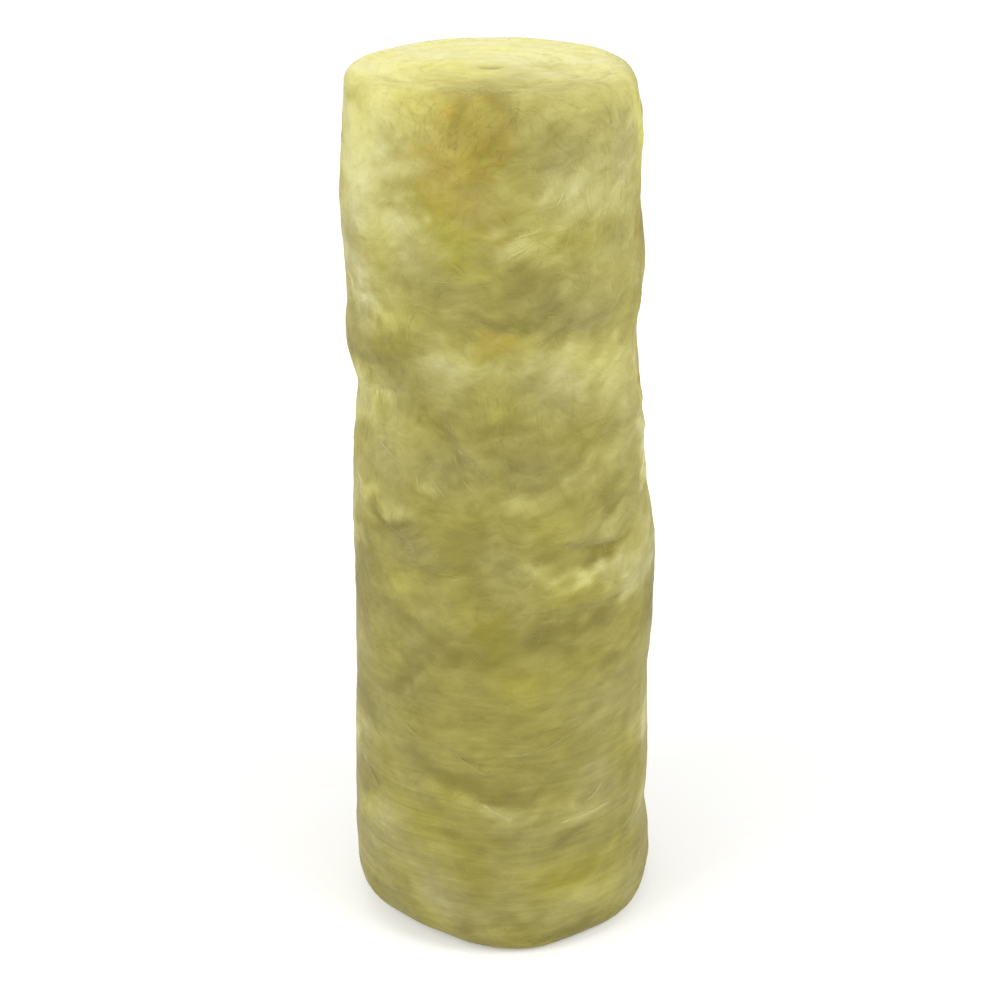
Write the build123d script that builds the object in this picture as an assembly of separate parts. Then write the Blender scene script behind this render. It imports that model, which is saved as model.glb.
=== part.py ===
from build123d import *
import os
from math import cos, radians

# A glass wool insulation batt, rolled up and stood on its end.
# The batt is one piece of stock, so the roll is one solid: a turned body with its bore,
# the step where the batt's outer end lies on the roll, and the spiral of its turns on both ends.
# Millimetres and degrees. +Z runs up the bore, and the origin is the middle of the base.
# +X is the right hand side for a viewer who stands in front, at -Y.

# The batt and how it is wound
BATT_WIDTH = 1200.0
TURN_PITCH = 26.0
BORE_RADIUS = 15.0
BORE_MOUTH_BEVEL = 6.0

# The slumped outline, from the floor up: radii, and heights as shares of the batt's width
BASE_RADIUS = 213.0
BELLY_RADIUS = 207.0
WAIST_RADIUS = 194.5
SHOULDER_RADIUS = 201.5
TOP_RADIUS = 191.5
BELLY_HEIGHT_SHARE = 0.46
WAIST_HEIGHT_SHARE = 0.66
SHOULDER_HEIGHT_SHARE = 0.80

# The rounds on that outline: the soft rims at the two ends, and the bends of the side
BASE_RIM_RADIUS = 38.0
TOP_RIM_RADIUS = 32.0
SIDE_BEND_RADIUS = 300.0

# The batt's outer end: how far it stands up, and the turn over which the step beside it fades
TAIL_STEP = 12.5
TAIL_RUNOUT_ANGLE = 60.0

# Its slanting route up the side, as the angle from +X at each point of the outline. It stands up
# most at the shoulder, and the turned body's seam lies in the bared turn beside it.
TAIL_BASE_ANGLE = 14.0
TAIL_BELLY_ANGLE = 1.0
TAIL_WAIST_ANGLE = -19.0
TAIL_SHOULDER_ANGLE = -24.0
TAIL_TOP_ANGLE = -14.0
SEAM_ANGLE = 24.0

# The creases where the slumped roll is pinched under its shoulder, left and right of the front:
# their depth at the waist, how far they open above and below, and the turn over which they fade
CREASE_DEPTH = 10.0
CREASE_ABOVE = 20.0
CREASE_BELOW = 70.0
CREASE_RUNOUT_ANGLE = 33.0
LEFT_CREASE_ANGLE = -145.0
LEFT_CREASE_HEIGHT_SHARE = 0.667
LEFT_CREASE_SLANT = 8.0
RIGHT_CREASE_ANGLE = -60.0
RIGHT_CREASE_HEIGHT_SHARE = 0.728
RIGHT_CREASE_SLANT = -3.0

# The valley between two turns on an end
VALLEY_HALF_WIDTH = 7.0
VALLEY_DEPTH_SHARE = 0.9

# How far every cutting shape reaches past the solid
CUT_OVERRUN = 20.0

HALF_TURN = 180.0

BASE_LAND_RADIUS = BASE_RADIUS - BASE_RIM_RADIUS
TOP_LAND_RADIUS = TOP_RADIUS - TOP_RIM_RADIUS


def roll_section():
    """Half of the roll, cut through its bore: the wavy side, its soft rims and the bore's mouths."""
    base_mouth = (BORE_RADIUS, 0)
    base_rim = (BASE_RADIUS, 0)
    belly = (BELLY_RADIUS, BELLY_HEIGHT_SHARE * BATT_WIDTH)
    waist = (WAIST_RADIUS, WAIST_HEIGHT_SHARE * BATT_WIDTH)
    shoulder = (SHOULDER_RADIUS, SHOULDER_HEIGHT_SHARE * BATT_WIDTH)
    top_rim = (TOP_RADIUS, BATT_WIDTH)
    top_mouth = (BORE_RADIUS, BATT_WIDTH)
    side_rounds = {
        base_rim: BASE_RIM_RADIUS,
        belly: SIDE_BEND_RADIUS,
        waist: SIDE_BEND_RADIUS,
        shoulder: SIDE_BEND_RADIUS,
        top_rim: TOP_RIM_RADIUS,
    }
    section = make_face(Polyline(base_mouth, *side_rounds, top_mouth, close=True))
    for corner, radius in side_rounds.items():
        section = fillet(section.vertices().sort_by_distance(corner)[0], radius)
    for corner in (base_mouth, top_mouth):
        section = chamfer(section.vertices().sort_by_distance(corner)[0], BORE_MOUTH_BEVEL)
    return section


def bared_turn():
    """What lies outside the turn that the outer end leaves bare.

    The bared turn has the same section as the roll, turned about an axis that lies further from
    the outer end, so its surface climbs back to the roll's own after the run-out angle.
    """
    axis_offset = TAIL_STEP / (1 - cos(radians(TAIL_RUNOUT_ANGLE)))
    bared_shift = axis_offset - TAIL_STEP
    band_start = min(BASE_LAND_RADIUS, TOP_LAND_RADIUS) + bared_shift
    band_end = max(BASE_RADIUS, SHOULDER_RADIUS) + axis_offset + CUT_OVERRUN
    band = Pos(X=band_start, Y=-CUT_OVERRUN) * Rectangle(
        band_end - band_start, BATT_WIDTH + 2 * CUT_OVERRUN, align=Align.MIN
    )
    outside = band - Pos(X=bared_shift) * roll_section()
    both_ways = Rot(Z=-TAIL_RUNOUT_ANGLE) * revolve(Plane.XZ * outside, Axis.Z, 2 * TAIL_RUNOUT_ANGLE)
    return Rot(Z=TAIL_SHOULDER_ANGLE) * Pos(X=-axis_offset) * both_ways


def past_outer_end():
    """All that lies past the outer end within a quarter turn, from its route up the side."""
    reach = 2 * BASE_RADIUS
    quarter = make_face(Polyline((0, 0), (reach, 0), (0, reach), close=True))
    route = [
        (-CUT_OVERRUN, TAIL_BASE_ANGLE),
        (BASE_RIM_RADIUS, TAIL_BASE_ANGLE),
        (BELLY_HEIGHT_SHARE * BATT_WIDTH, TAIL_BELLY_ANGLE),
        (WAIST_HEIGHT_SHARE * BATT_WIDTH, TAIL_WAIST_ANGLE),
        (SHOULDER_HEIGHT_SHARE * BATT_WIDTH, TAIL_SHOULDER_ANGLE),
        (BATT_WIDTH - TOP_RIM_RADIUS, TAIL_TOP_ANGLE),
        (BATT_WIDTH + CUT_OVERRUN, TAIL_TOP_ANGLE),
    ]
    return loft([Pos(Z=height) * Rot(Z=angle) * quarter for height, angle in route], ruled=True)


def crease(angle, height_share, slant):
    """A slanting ring with a sharp inner edge, its axis set back so that it bites the front alone."""
    axis_offset = CREASE_DEPTH / (1 - cos(radians(CREASE_RUNOUT_ANGLE)))
    bottom = WAIST_RADIUS - CREASE_DEPTH + axis_offset
    opening = 1 + CUT_OVERRUN / CREASE_DEPTH
    mouth = bottom + opening * CREASE_DEPTH
    outline = Polyline(
        (bottom, 0), (mouth, opening * CREASE_ABOVE), (mouth, -opening * CREASE_BELOW), close=True
    )
    ring = revolve(Plane.XZ * make_face(outline), Axis.Z)
    place = Pos(Z=height_share * BATT_WIDTH) * Rot(Z=angle) * Rot(X=slant) * Pos(X=-axis_offset)
    return place * Rot(Z=HALF_TURN) * ring


def valley_half_turn(radius):
    """Half a turn of the valley between two turns, cut down into a face at height zero."""
    depth = VALLEY_DEPTH_SHARE * VALLEY_HALF_WIDTH
    width = 2 * VALLEY_HALF_WIDTH
    outline = Polyline((radius, -depth), (radius + width, depth), (radius - width, depth), close=True)
    return revolve(Plane.XZ * make_face(outline), Axis.Z, HALF_TURN)


def spiral_valley(land_radius, tail_angle):
    """Half turns about two centres in turn, winding in from the outer end to the innermost turn."""
    center_offset = TURN_PITCH / 4
    smallest = BORE_RADIUS + BORE_MOUTH_BEVEL + VALLEY_HALF_WIDTH
    radius = land_radius - TAIL_STEP - center_offset
    half_turns = []
    while radius > smallest:
        in_front = len(half_turns) % 2 == 0
        place = Pos(X=center_offset) * Rot(Z=HALF_TURN) if in_front else Pos(X=-center_offset)
        half_turns.append(Rot(Z=tail_angle) * place * valley_half_turn(radius))
        radius -= TURN_PITCH / 2
    return half_turns


def rolled_batt():
    """The turned body less the outer end's step, the pinch creases and the ends' spiral valleys."""
    turned_body = Rot(Z=SEAM_ANGLE) * revolve(Plane.XZ * roll_section(), Axis.Z)
    top_turns = spiral_valley(TOP_LAND_RADIUS, TAIL_TOP_ANGLE)
    base_turns = spiral_valley(BASE_LAND_RADIUS, TAIL_BASE_ANGLE)
    top_valley = [Pos(Z=BATT_WIDTH) * piece for piece in top_turns]
    base_valley = [mirror(piece, about=Plane.XY) for piece in base_turns]
    tail_step = bared_turn() & past_outer_end()
    creases = [
        crease(LEFT_CREASE_ANGLE, LEFT_CREASE_HEIGHT_SHARE, LEFT_CREASE_SLANT),
        crease(RIGHT_CREASE_ANGLE, RIGHT_CREASE_HEIGHT_SHARE, RIGHT_CREASE_SLANT),
    ]
    return turned_body - [tail_step, *creases, *top_valley, *base_valley]


os.makedirs("parts", exist_ok=True)
export_step(rolled_batt(), "parts/rolled_batt.step")
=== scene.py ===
import logging
import math
from abc import ABC, abstractmethod
from dataclasses import astuple, dataclass, field
from enum import Enum, IntEnum

import bpy
import numpy as np
from mathutils import Euler, Matrix, Vector


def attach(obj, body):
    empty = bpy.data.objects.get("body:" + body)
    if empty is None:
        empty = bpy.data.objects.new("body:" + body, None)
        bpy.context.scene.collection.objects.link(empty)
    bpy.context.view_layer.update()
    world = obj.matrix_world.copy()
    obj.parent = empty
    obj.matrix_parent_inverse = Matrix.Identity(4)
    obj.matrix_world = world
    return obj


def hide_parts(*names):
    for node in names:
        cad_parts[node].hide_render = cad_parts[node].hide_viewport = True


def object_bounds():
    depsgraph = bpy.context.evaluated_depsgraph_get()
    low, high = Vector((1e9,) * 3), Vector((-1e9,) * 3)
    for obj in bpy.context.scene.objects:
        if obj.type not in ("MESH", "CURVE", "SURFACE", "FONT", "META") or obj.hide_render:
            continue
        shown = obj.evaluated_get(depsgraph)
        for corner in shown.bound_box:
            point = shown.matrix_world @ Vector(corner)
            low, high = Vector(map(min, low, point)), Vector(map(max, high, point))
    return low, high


# A glass wool insulation batt, rolled up and stood on its end.
# Lengths are millimetres and angles degrees until a mesh is made, which is in metres.
# Azimuth 0 faces the camera, at -Y, and grows to the viewer's right.

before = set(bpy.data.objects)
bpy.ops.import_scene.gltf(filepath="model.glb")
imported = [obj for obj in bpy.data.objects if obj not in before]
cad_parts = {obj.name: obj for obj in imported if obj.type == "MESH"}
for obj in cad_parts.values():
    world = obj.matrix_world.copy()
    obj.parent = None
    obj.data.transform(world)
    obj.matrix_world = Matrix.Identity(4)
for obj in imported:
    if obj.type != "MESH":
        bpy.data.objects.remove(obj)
cad_low, cad_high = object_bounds()

LOG = logging.getLogger("rolled_batt")
MM = 0.001
NODE = "rolled_batt"
BODY = "root"
FULL_TURN = 2.0 * math.pi
QUARTER_TURN = math.pi / 2.0
SHORTEST = 1e-9

Array = np.ndarray
Socket = bpy.types.NodeSocket
Colour = tuple[float, float, float]
Triple = tuple[float, float, float]
PatchRow = tuple[float, float, float, float, float]
Limits = tuple[float, float]


class Zone(IntEnum):
    """The stretches of the roll's section, from the bore's lower mouth over the side and back."""

    BASE_END = 0
    BASE_RIM = 1
    SIDE = 2
    TOP_RIM = 3
    TOP_END = 4
    TOP_MOUTH = 5
    BORE = 6
    BASE_MOUTH = 7


# Where a zone starts, with how far past that a place is
Edge = tuple[Zone, float]


def azimuth_of(theta: Array, start: float = 0.0) -> Array:
    """Gives the azimuth of a polar angle.

    Args:
        theta: Polar angles from +X, in radians.
        start: The azimuth to count from, in degrees.

    Returns:
        Degrees from the start, from -180 to 180.
    """
    return (np.degrees(theta) + 270.0 - start) % 360.0 - 180.0


def theta_of(azimuth: Array) -> Array:
    """Gives the polar angle of an azimuth, in radians."""
    return np.radians(azimuth - 90.0)


def unit(vectors: Array) -> Array:
    """Gives vectors the length 1, along the last axis."""
    return vectors / np.maximum(np.linalg.norm(vectors, axis=-1, keepdims=True), SHORTEST)


def smooth_step(share: Array) -> Array:
    """Eases a share that runs from 0 to 1.

    Args:
        share: Any numbers; those outside 0 to 1 are held at the ends.

    Returns:
        The eased share, level at both ends.
    """
    held = np.clip(share, 0.0, 1.0)
    return held * held * (3.0 - 2.0 * held)


def smooth_between(places: Array, known_places: Array, known_values: Array) -> Array:
    """Draws a soft curve through known values, with no overshoot.

    Args:
        places: Where the curve is wanted.
        known_places: Where it is known, in rising order.
        known_values: The values there.

    Returns:
        The curve's values at the places.
    """
    runs = np.diff(known_places)
    rises = np.diff(known_values) / runs
    slopes = np.zeros(len(known_values))
    turning = rises[1:] * rises[:-1] <= 0.0
    slopes[1:-1] = np.where(turning, 0.0, (rises[1:] + rises[:-1]) / 2.0)
    held = np.clip(places, known_places[0], known_places[-1])
    step = np.clip(np.searchsorted(known_places, held, side="right") - 1, 0, len(runs) - 1)
    share = (held - known_places[step]) / runs[step]
    back = 1.0 - share
    return (
        known_values[step] * (1.0 + 2.0 * share) * back**2
        + known_values[step + 1] * (3.0 - 2.0 * share) * share**2
        + runs[step] * share * back * (slopes[step] * back - slopes[step + 1] * share)
    )


@dataclass
class SoftNoise:
    """A smooth seeded field in space, with a spread of about 1: plane waves about one wavelength."""

    seed: int
    wavelength: float
    waves: int = 24
    flatten: float = 1.0
    shortest: float = 0.7
    longest: float = 1.4

    def __post_init__(self) -> None:
        """Draws the waves."""
        rng = np.random.default_rng(self.seed)
        ways = rng.normal(size=(self.waves, 3))
        ways /= np.linalg.norm(ways, axis=1, keepdims=True)
        ways[:, 2] *= self.flatten
        lengths = self.wavelength * rng.uniform(self.shortest, self.longest, self.waves)
        self.wave_vectors = ways * (FULL_TURN / lengths)[:, None]
        self.phases = rng.uniform(0.0, FULL_TURN, self.waves)

    def at(self, points: Array) -> Array:
        """Gives the field at points.

        Args:
            points: Points in rows, in millimetres.

        Returns:
            One value for each point.
        """
        waves = np.cos(points @ self.wave_vectors.T + self.phases)
        return waves.sum(axis=-1) * math.sqrt(2.0 / self.waves)


class Tint(Enum):
    """What a patch does to the wool."""

    PALE = "pale"
    OLIVE = "olive"
    # Ochre stains; the attribute of this name also holds painted shade on the bared turn
    BINDER = "binder"
    MOSS = "moss"
    # Greyer and bluer: dusty wool, and painted shade along the side's edges
    DUST_AND_SHADE = "dust"


@dataclass(frozen=True)
class Station:
    """How far the side stands from the bore's axis at one height, left and right of the front."""

    height: float
    left: float
    right: float


@dataclass(frozen=True)
class TailStation:
    """Where the batt's outer end lies at one height."""

    height: float
    azimuth: float


@dataclass(frozen=True)
class RimSwell:
    """A stretch of an end's rim that is rounder or tighter than the rest."""

    azimuth: float
    spread: float
    extra: float


@dataclass(frozen=True)
class Patch:
    """A soft patch of one tint on the side."""

    tint: Tint
    azimuth: float
    height: float
    wide: float
    tall: float
    strength: float

    def weight(self, theta: Array, height: Array, radius: float) -> Array:
        """Gives how strong the patch is at places on the side.

        Args:
            theta: Polar angles in radians.
            height: Heights.
            radius: The roll's middle radius.

        Returns:
            The strength, fading out from the patch's middle.
        """
        across = np.radians(azimuth_of(theta, self.azimuth)) * radius / self.wide
        along = (height - self.height) / self.tall
        return self.strength * np.exp(-across**2 - along**2)


def tinted(tint: Tint, *rows: PatchRow) -> tuple[Patch, ...]:
    """Makes patches of one tint.

    Args:
        tint: What the patches do.
        rows: Each patch's azimuth, height, half width, half height and strength.

    Returns:
        The patches, in the rows' order.
    """
    return tuple(Patch(tint, *row) for row in rows)


@dataclass(frozen=True)
class EndPatch:
    """A soft patch of one tint on the top end."""

    tint: Tint
    right: float
    back: float
    reach: float
    strength: float

    def weight(self, points: Array) -> Array:
        """Gives how strong the patch is, seen from above.

        Args:
            points: Points in rows, in millimetres.

        Returns:
            The strength, fading out from the patch's middle.
        """
        off = points[:, :2] - np.array([self.right, self.back])
        return self.strength * np.exp(-(off**2).sum(axis=1) / self.reach**2)


@dataclass(frozen=True)
class Fold:
    """A lap in the wool along a line: one side of the line stands up and the other sinks."""

    start_azimuth: float
    start_height: float
    end_azimuth: float
    end_height: float
    rise: float
    reach: float
    fade: float = 3.0
    lap_gain: float = 1.25
    lap_sharpness: float = 3.0

    def lift(self, theta: Array, height: Array, radius: float) -> Array:
        """Gives how far the lap lifts the side.

        Args:
            theta: Polar angles in radians.
            height: Heights.
            radius: The roll's middle radius.

        Returns:
            The lift, positive on the line's left hand side.
        """
        start = np.array([math.radians(self.start_azimuth) * radius, self.start_height])
        end = np.array([math.radians(self.end_azimuth) * radius, self.end_height])
        run = end - start
        length = float(np.hypot(*run))
        along_way = run / length
        off = np.radians(azimuth_of(theta)) * radius - start[0]
        up = height - start[1]
        along = (off * along_way[0] + up * along_way[1]) / length
        across = (up * along_way[0] - off * along_way[1]) / self.reach
        ends = smooth_step(along * self.fade) * smooth_step((1.0 - along) * self.fade)
        return self.rise * self.profile(across) * ends

    def profile(self, across: Array) -> Array:
        """Gives the lap's section: up on the left of the line and down on its right."""
        return self.lap_gain * np.tanh(self.lap_sharpness * across) * np.exp(-(across**2))


@dataclass(frozen=True)
class Groove(Fold):
    """A soft groove along a line, or with a negative rise a ridge."""

    def profile(self, across: Array) -> Array:
        """Gives the groove's section."""
        return -np.exp(-(across**2))


@dataclass(frozen=True)
class LumpSizes:
    """How far each kind of lump lifts the side, and how much of it is left where the wool is calmer."""

    broad: float = 2.8
    middle: float = 1.6
    puff: float = 0.6
    puff_level: float = 0.8
    puff_small: float = 0.35
    small: float = 0.16
    tiny: float = 0.06
    left_at_edges: float = 0.3
    lost_when_combed: float = 0.5


@dataclass
class RollForm:
    """The wound batt's form: the slumped side, its outer end, the turns on both ends and the lumps."""

    height: float = (cad_high.z - cad_low.z) / MM
    middle_radius: float = 202.0
    pitch: float = 26.0
    bore_radius: float = 15.0
    mouth_radius: float = 6.0
    base_rim: float = 40.0
    base_rim_wobble: float = 4.0
    top_rim: float = 22.0
    top_rise: float = 1.5
    top_tilt: float = 4.0
    tilt_from: float = 0.75
    nap_allowance: float = 1.0
    tail_step: float = 12.5
    tail_runout: float = 60.0
    tail_highest: float = 66.0
    lip_length: float = 13.0
    lip_round: float = 7.0
    crevice: float = 4.0
    crevice_fade: float = 5.0
    tail_flat_from: float = 1115.0
    tail_flat_over: float = 65.0
    tail_flattened: float = 0.7
    bared_at_edge: float = 11.0
    bared_from: float = 460.0
    bared_over: float = 190.0
    combed_to: float = 220.0
    combed_fade: float = 420.0
    valley_depth: float = 1.8
    valley_wobble: float = 0.35
    telescope: float = 0.5
    telescope_turn: float = 2.4
    end_lump: float = 0.6
    end_fade: float = 12.0
    land_fade: float = 0.125
    lump: LumpSizes = LumpSizes()
    stations: tuple[Station, ...] = (
        Station(0.0, 215.0, 212.0),
        Station(100.0, 216.5, 209.5),
        Station(140.0, 215.0, 204.5),
        Station(220.0, 212.0, 208.0),
        Station(340.0, 205.5, 206.5),
        Station(430.0, 203.5, 212.5),
        Station(545.0, 200.0, 210.0),
        Station(630.0, 199.0, 200.0),
        Station(705.0, 195.5, 196.0),
        Station(745.0, 191.5, 195.5),
        Station(780.0, 186.0, 192.5),
        Station(830.0, 194.5, 188.5),
        Station(862.0, 198.5, 189.5),
        Station(905.0, 195.5, 195.0),
        Station(945.0, 195.5, 198.0),
        Station(1025.0, 199.5, 190.5),
        Station(1100.0, 193.0, 190.0),
        Station(1140.0, 189.5, 193.0),
        Station(1200.0, 185.0, 187.0),
    )
    tail_stations: tuple[TailStation, ...] = (
        TailStation(0.0, 104.0),
        TailStation(300.0, 98.0),
        TailStation(480.0, 92.0),
        TailStation(560.0, 85.0),
        TailStation(640.0, 78.0),
        TailStation(740.0, 74.0),
        TailStation(840.0, 66.0),
        TailStation(900.0, 70.0),
        TailStation(1000.0, 64.0),
        TailStation(1100.0, 72.0),
        TailStation(1200.0, 76.0),
    )
    base_swells: tuple[RimSwell, ...] = (
        RimSwell(-53.0, 32.0, 29.0),
        RimSwell(-38.0, 9.0, -7.0),
        RimSwell(35.0, 29.0, -16.0),
    )
    top_swells: tuple[RimSwell, ...] = (RimSwell(-88.0, 30.0, -8.0), RimSwell(0.0, 58.0, 38.0))
    folds: tuple[Fold, ...] = (
        Fold(-22.0, 795.0, -2.0, 700.0, 5.0, 13.0),
        Fold(20.0, 622.0, 54.0, 596.0, 7.0, 18.0),
        Fold(-76.0, 800.0, -34.0, 822.0, 4.5, 22.0),
        Fold(14.0, 922.0, 76.0, 878.0, 3.2, 24.0),
        Fold(-14.0, 926.0, 20.0, 916.0, 2.5, 20.0),
        Fold(-54.0, 648.0, -30.0, 606.0, 5.0, 16.0),
        Fold(8.0, 522.0, 62.0, 522.0, 4.0, 20.0),
        Fold(-44.0, 372.0, -16.0, 486.0, -4.0, 18.0),
        Fold(-62.0, 295.0, 0.0, 232.0, -3.2, 28.0),
        Fold(0.0, 232.0, 56.0, 252.0, -3.2, 28.0),
        Fold(-26.0, 328.0, -3.0, 298.0, 2.6, 9.0),
        Fold(-3.0, 332.0, 42.0, 376.0, 2.8, 9.0),
        Fold(-48.0, 576.0, -4.0, 598.0, 3.0, 12.0),
        Groove(-70.0, 800.0, -8.0, 880.0, 8.0, 30.0),
        Groove(-20.0, 902.0, 78.0, 892.0, 8.0, 30.0),
    )
    noises: dict[str, SoftNoise] = field(
        default_factory=lambda: {
            "broad": SoftNoise(11, 240.0),
            "middle": SoftNoise(12, 115.0),
            "puff": SoftNoise(13, 90.0, flatten=1.4),
            "puff_small": SoftNoise(14, 46.0, flatten=1.3),
            "small": SoftNoise(15, 27.0),
            "tiny": SoftNoise(16, 15.0),
        }
    )
    rim_noise: SoftNoise = field(default_factory=lambda: SoftNoise(17, 130.0))

    def __post_init__(self) -> None:
        """Lays out the section's zones: end, rim, side, rim, end, and the bore back down."""
        mouth_edge = self.bore_radius + self.mouth_radius
        lengths = [
            self.middle_radius - self.base_rim - mouth_edge,
            QUARTER_TURN * self.base_rim,
            self.height - self.base_rim - self.top_rim,
            QUARTER_TURN * self.top_rim,
            self.middle_radius - self.top_rim - mouth_edge,
            QUARTER_TURN * self.mouth_radius,
            self.height - 2.0 * self.mouth_radius,
            QUARTER_TURN * self.mouth_radius,
        ]
        self.zone_starts = np.concatenate([[0.0], np.cumsum(lengths)])

    def tail_theta(self, height: Array) -> Array:
        """Gives the polar angle of the batt's outer end.

        Args:
            height: Heights.

        Returns:
            Polar angles in radians.
        """
        heights = np.array([s.height for s in self.tail_stations])
        azimuths = np.array([s.azimuth for s in self.tail_stations])
        return theta_of(smooth_between(height, heights, azimuths))

    def tail_drop(self, theta: Array, height: Array) -> Array:
        """Gives how far the side lies below the outer turn, at the outer end and in front of it.

        Args:
            theta: Polar angles in radians.
            height: Heights.

        Returns:
            The drop: a round lip, a crevice under it and the bared turn's rise.
        """
        ahead = (theta - self.tail_theta(height) + math.pi) % FULL_TURN - math.pi
        arc = ahead * self.middle_radius
        fall = self.tail_step / (1.0 - math.cos(math.radians(self.tail_runout)))
        past_highest = theta - theta_of(self.tail_highest)
        bared = np.clip(self.tail_step - fall * (1.0 - np.cos(past_highest)), 0.0, None)
        crevice = self.crevice * np.exp(-np.clip(arc, 0.0, None) / self.crevice_fade)
        over_lip = np.clip(1.0 + arc / self.lip_length, 0.0, 1.0)
        lip = self.lip_round * (1.0 - np.sqrt(1.0 - over_lip**2))
        return np.where(ahead >= 0.0, bared + crevice, lip) * self.tail_share(height)

    def tail_share(self, height: Array) -> Array:
        """Gives how much of the outer end's step is left: it flattens at the top's rim.

        Args:
            height: Heights.

        Returns:
            Shares of the step.
        """
        flat = smooth_step((height - self.tail_flat_from) / self.tail_flat_over)
        return 1.0 - self.tail_flattened * flat

    def outline(self, theta: Array, height: Array) -> Array:
        """Gives the slumped side's radius before its lumps and the drop at the outer end.

        Args:
            theta: Polar angles in radians.
            height: Heights.

        Returns:
            Radii that have the stations' values at the left and right of the front.
        """
        heights = np.array([s.height for s in self.stations])
        left = smooth_between(height, heights, np.array([s.left for s in self.stations]))
        right = smooth_between(height, heights, np.array([s.right for s in self.stations]))
        bared = smooth_step((height - self.bared_from) / self.bared_over)
        right = right + self.bared_at_edge * bared * self.tail_share(height)
        return (left + right) / 2.0 + (right - left) / 2.0 * np.cos(theta) - self.nap_allowance

    def lumps(self, theta: Array, height: Array) -> Array:
        """Gives the lumps, puffs and laps on the side.

        Args:
            theta: Polar angles in radians.
            height: Heights.

        Returns:
            Offsets from the outline.
        """
        points = self.on_cylinder(theta, height)
        at = {name: noise.at(points) for name, noise in self.noises.items()}
        size = self.lump
        at_edges = size.left_at_edges + (1.0 - size.left_at_edges) * np.sin(theta) ** 2
        soft = size.broad * at["broad"] + size.middle * at["middle"]
        puffs = size.puff_level - np.abs(at["puff"])
        little = size.puff_small * at["puff_small"] + (size.small * at["small"] + size.tiny * at["tiny"])
        left = 1.0 - size.lost_when_combed * self.combed(height)
        lift = at_edges * (soft + size.puff * puffs) + little * left
        for fold in self.folds:
            lift = lift + fold.lift(theta, height, self.middle_radius)
        return lift

    def combed(self, height: Array) -> Array:
        """Gives how far the wool is combed flat round the roll at heights: most on the lower half."""
        return 1.0 - smooth_step((height - self.combed_to) / self.combed_fade)

    def on_cylinder(self, theta: Array, height: Array) -> Array:
        """Gives points on the plain cylinder that the noise is read on.

        Args:
            theta: Polar angles in radians.
            height: Heights.

        Returns:
            Points in rows.
        """
        return np.stack(
            [self.middle_radius * np.cos(theta), self.middle_radius * np.sin(theta), height], axis=-1
        )

    def side_radius(self, theta: Array, height: Array) -> Array:
        """Gives the side's radius.

        Args:
            theta: Polar angles in radians.
            height: Heights.

        Returns:
            Radii, with lumps and the outer end's step.
        """
        return self.outline(theta, height) + self.lumps(theta, height) - self.tail_drop(theta, height)

    def end_relief(self, theta: Array, radius: Array, height: float) -> Array:
        """Gives how deep an end lies below its crowns: the valleys between the turns.

        Args:
            theta: Polar angles in radians.
            radius: Radii on the end.
            height: The end's height.

        Returns:
            Depths, zero on the crowns and at the rim.
        """
        levels = np.full_like(theta, height)
        land = self.outline(theta, levels) - self.end_rim(theta, height)
        wound = ((self.tail_theta(levels) - theta) / FULL_TURN) % 1.0
        turns = (land - self.tail_step - radius) / self.pitch - wound
        nearest = np.maximum(np.round(turns), 0.0)
        off = np.clip(np.abs(turns - nearest) * 2.0, 0.0, 1.0)
        points = np.stack([radius * np.cos(theta), radius * np.sin(theta), levels], axis=-1)
        depth = self.valley_depth * (1.0 + self.valley_wobble * self.noises["middle"].at(points))
        telescoped = self.telescope * (1.0 + np.sin(self.telescope_turn * (np.ceil(turns) + wound)))
        lumpy = self.end_lump * (1.0 + np.tanh(self.noises["puff_small"].at(points)))
        inside = smooth_step((land - radius) / self.end_fade)
        return depth * (1.0 - off) ** 2 + inside * (telescoped + lumpy)

    def end_rim(self, theta: Array, height: float) -> Array:
        """Gives the rim's radius at the end with that height.

        Args:
            theta: Polar angles in radians.
            height: The end's height.

        Returns:
            Radii: tight at the top's left, and lumpy round the base.
        """
        if height > self.height / 2.0:
            swells = self.top_swells
            rim = np.full_like(theta, self.top_rim)
        else:
            swells = self.base_swells
            wobble = self.rim_noise.at(self.on_cylinder(theta, np.zeros_like(theta)))
            rim = self.base_rim + self.base_rim_wobble * wobble
        for swell in swells:
            off = azimuth_of(theta, swell.azimuth)
            rim = rim + swell.extra * np.exp(-((off / swell.spread) ** 2))
        return rim

    def top_level(self, theta: Array, radius: Array) -> Array:
        """Gives how high the top's crowns stand: it tilts down to the right.

        Args:
            theta: Polar angles in radians.
            radius: Radii on the top.

        Returns:
            Heights.
        """
        return self.height + self.top_rise - self.top_tilt * np.cos(theta) * radius / self.middle_radius

    def surface(self, theta: Array, run: Array) -> Array:
        """Gives points on the roll.

        Args:
            theta: Polar angles in radians.
            run: How far along the section, from the bore's lower mouth over the side and back.

        Returns:
            Points in rows, in millimetres.
        """
        starts = self.zone_starts
        zones = np.clip(np.searchsorted(starts, run, side="right") - 1, Zone.BASE_END, Zone.BASE_MOUTH)
        share = (run - starts[zones]) / (starts[zones + 1] - starts[zones])
        radius = np.zeros_like(run)
        height = np.zeros_like(run)
        places = {
            Zone.BASE_END: self.base_end_at,
            Zone.BASE_RIM: self.base_rim_at,
            Zone.SIDE: self.side_at,
            Zone.TOP_RIM: self.top_rim_at,
            Zone.TOP_END: self.top_end_at,
            Zone.TOP_MOUTH: self.top_mouth_at,
            Zone.BORE: self.bore_at,
            Zone.BASE_MOUTH: self.base_mouth_at,
        }
        for zone, place in places.items():
            chosen = zones == zone
            if chosen.any():
                radius[chosen], height[chosen] = place(theta[chosen], share[chosen])
        return np.stack([radius * np.cos(theta), radius * np.sin(theta), height], axis=-1)

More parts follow.
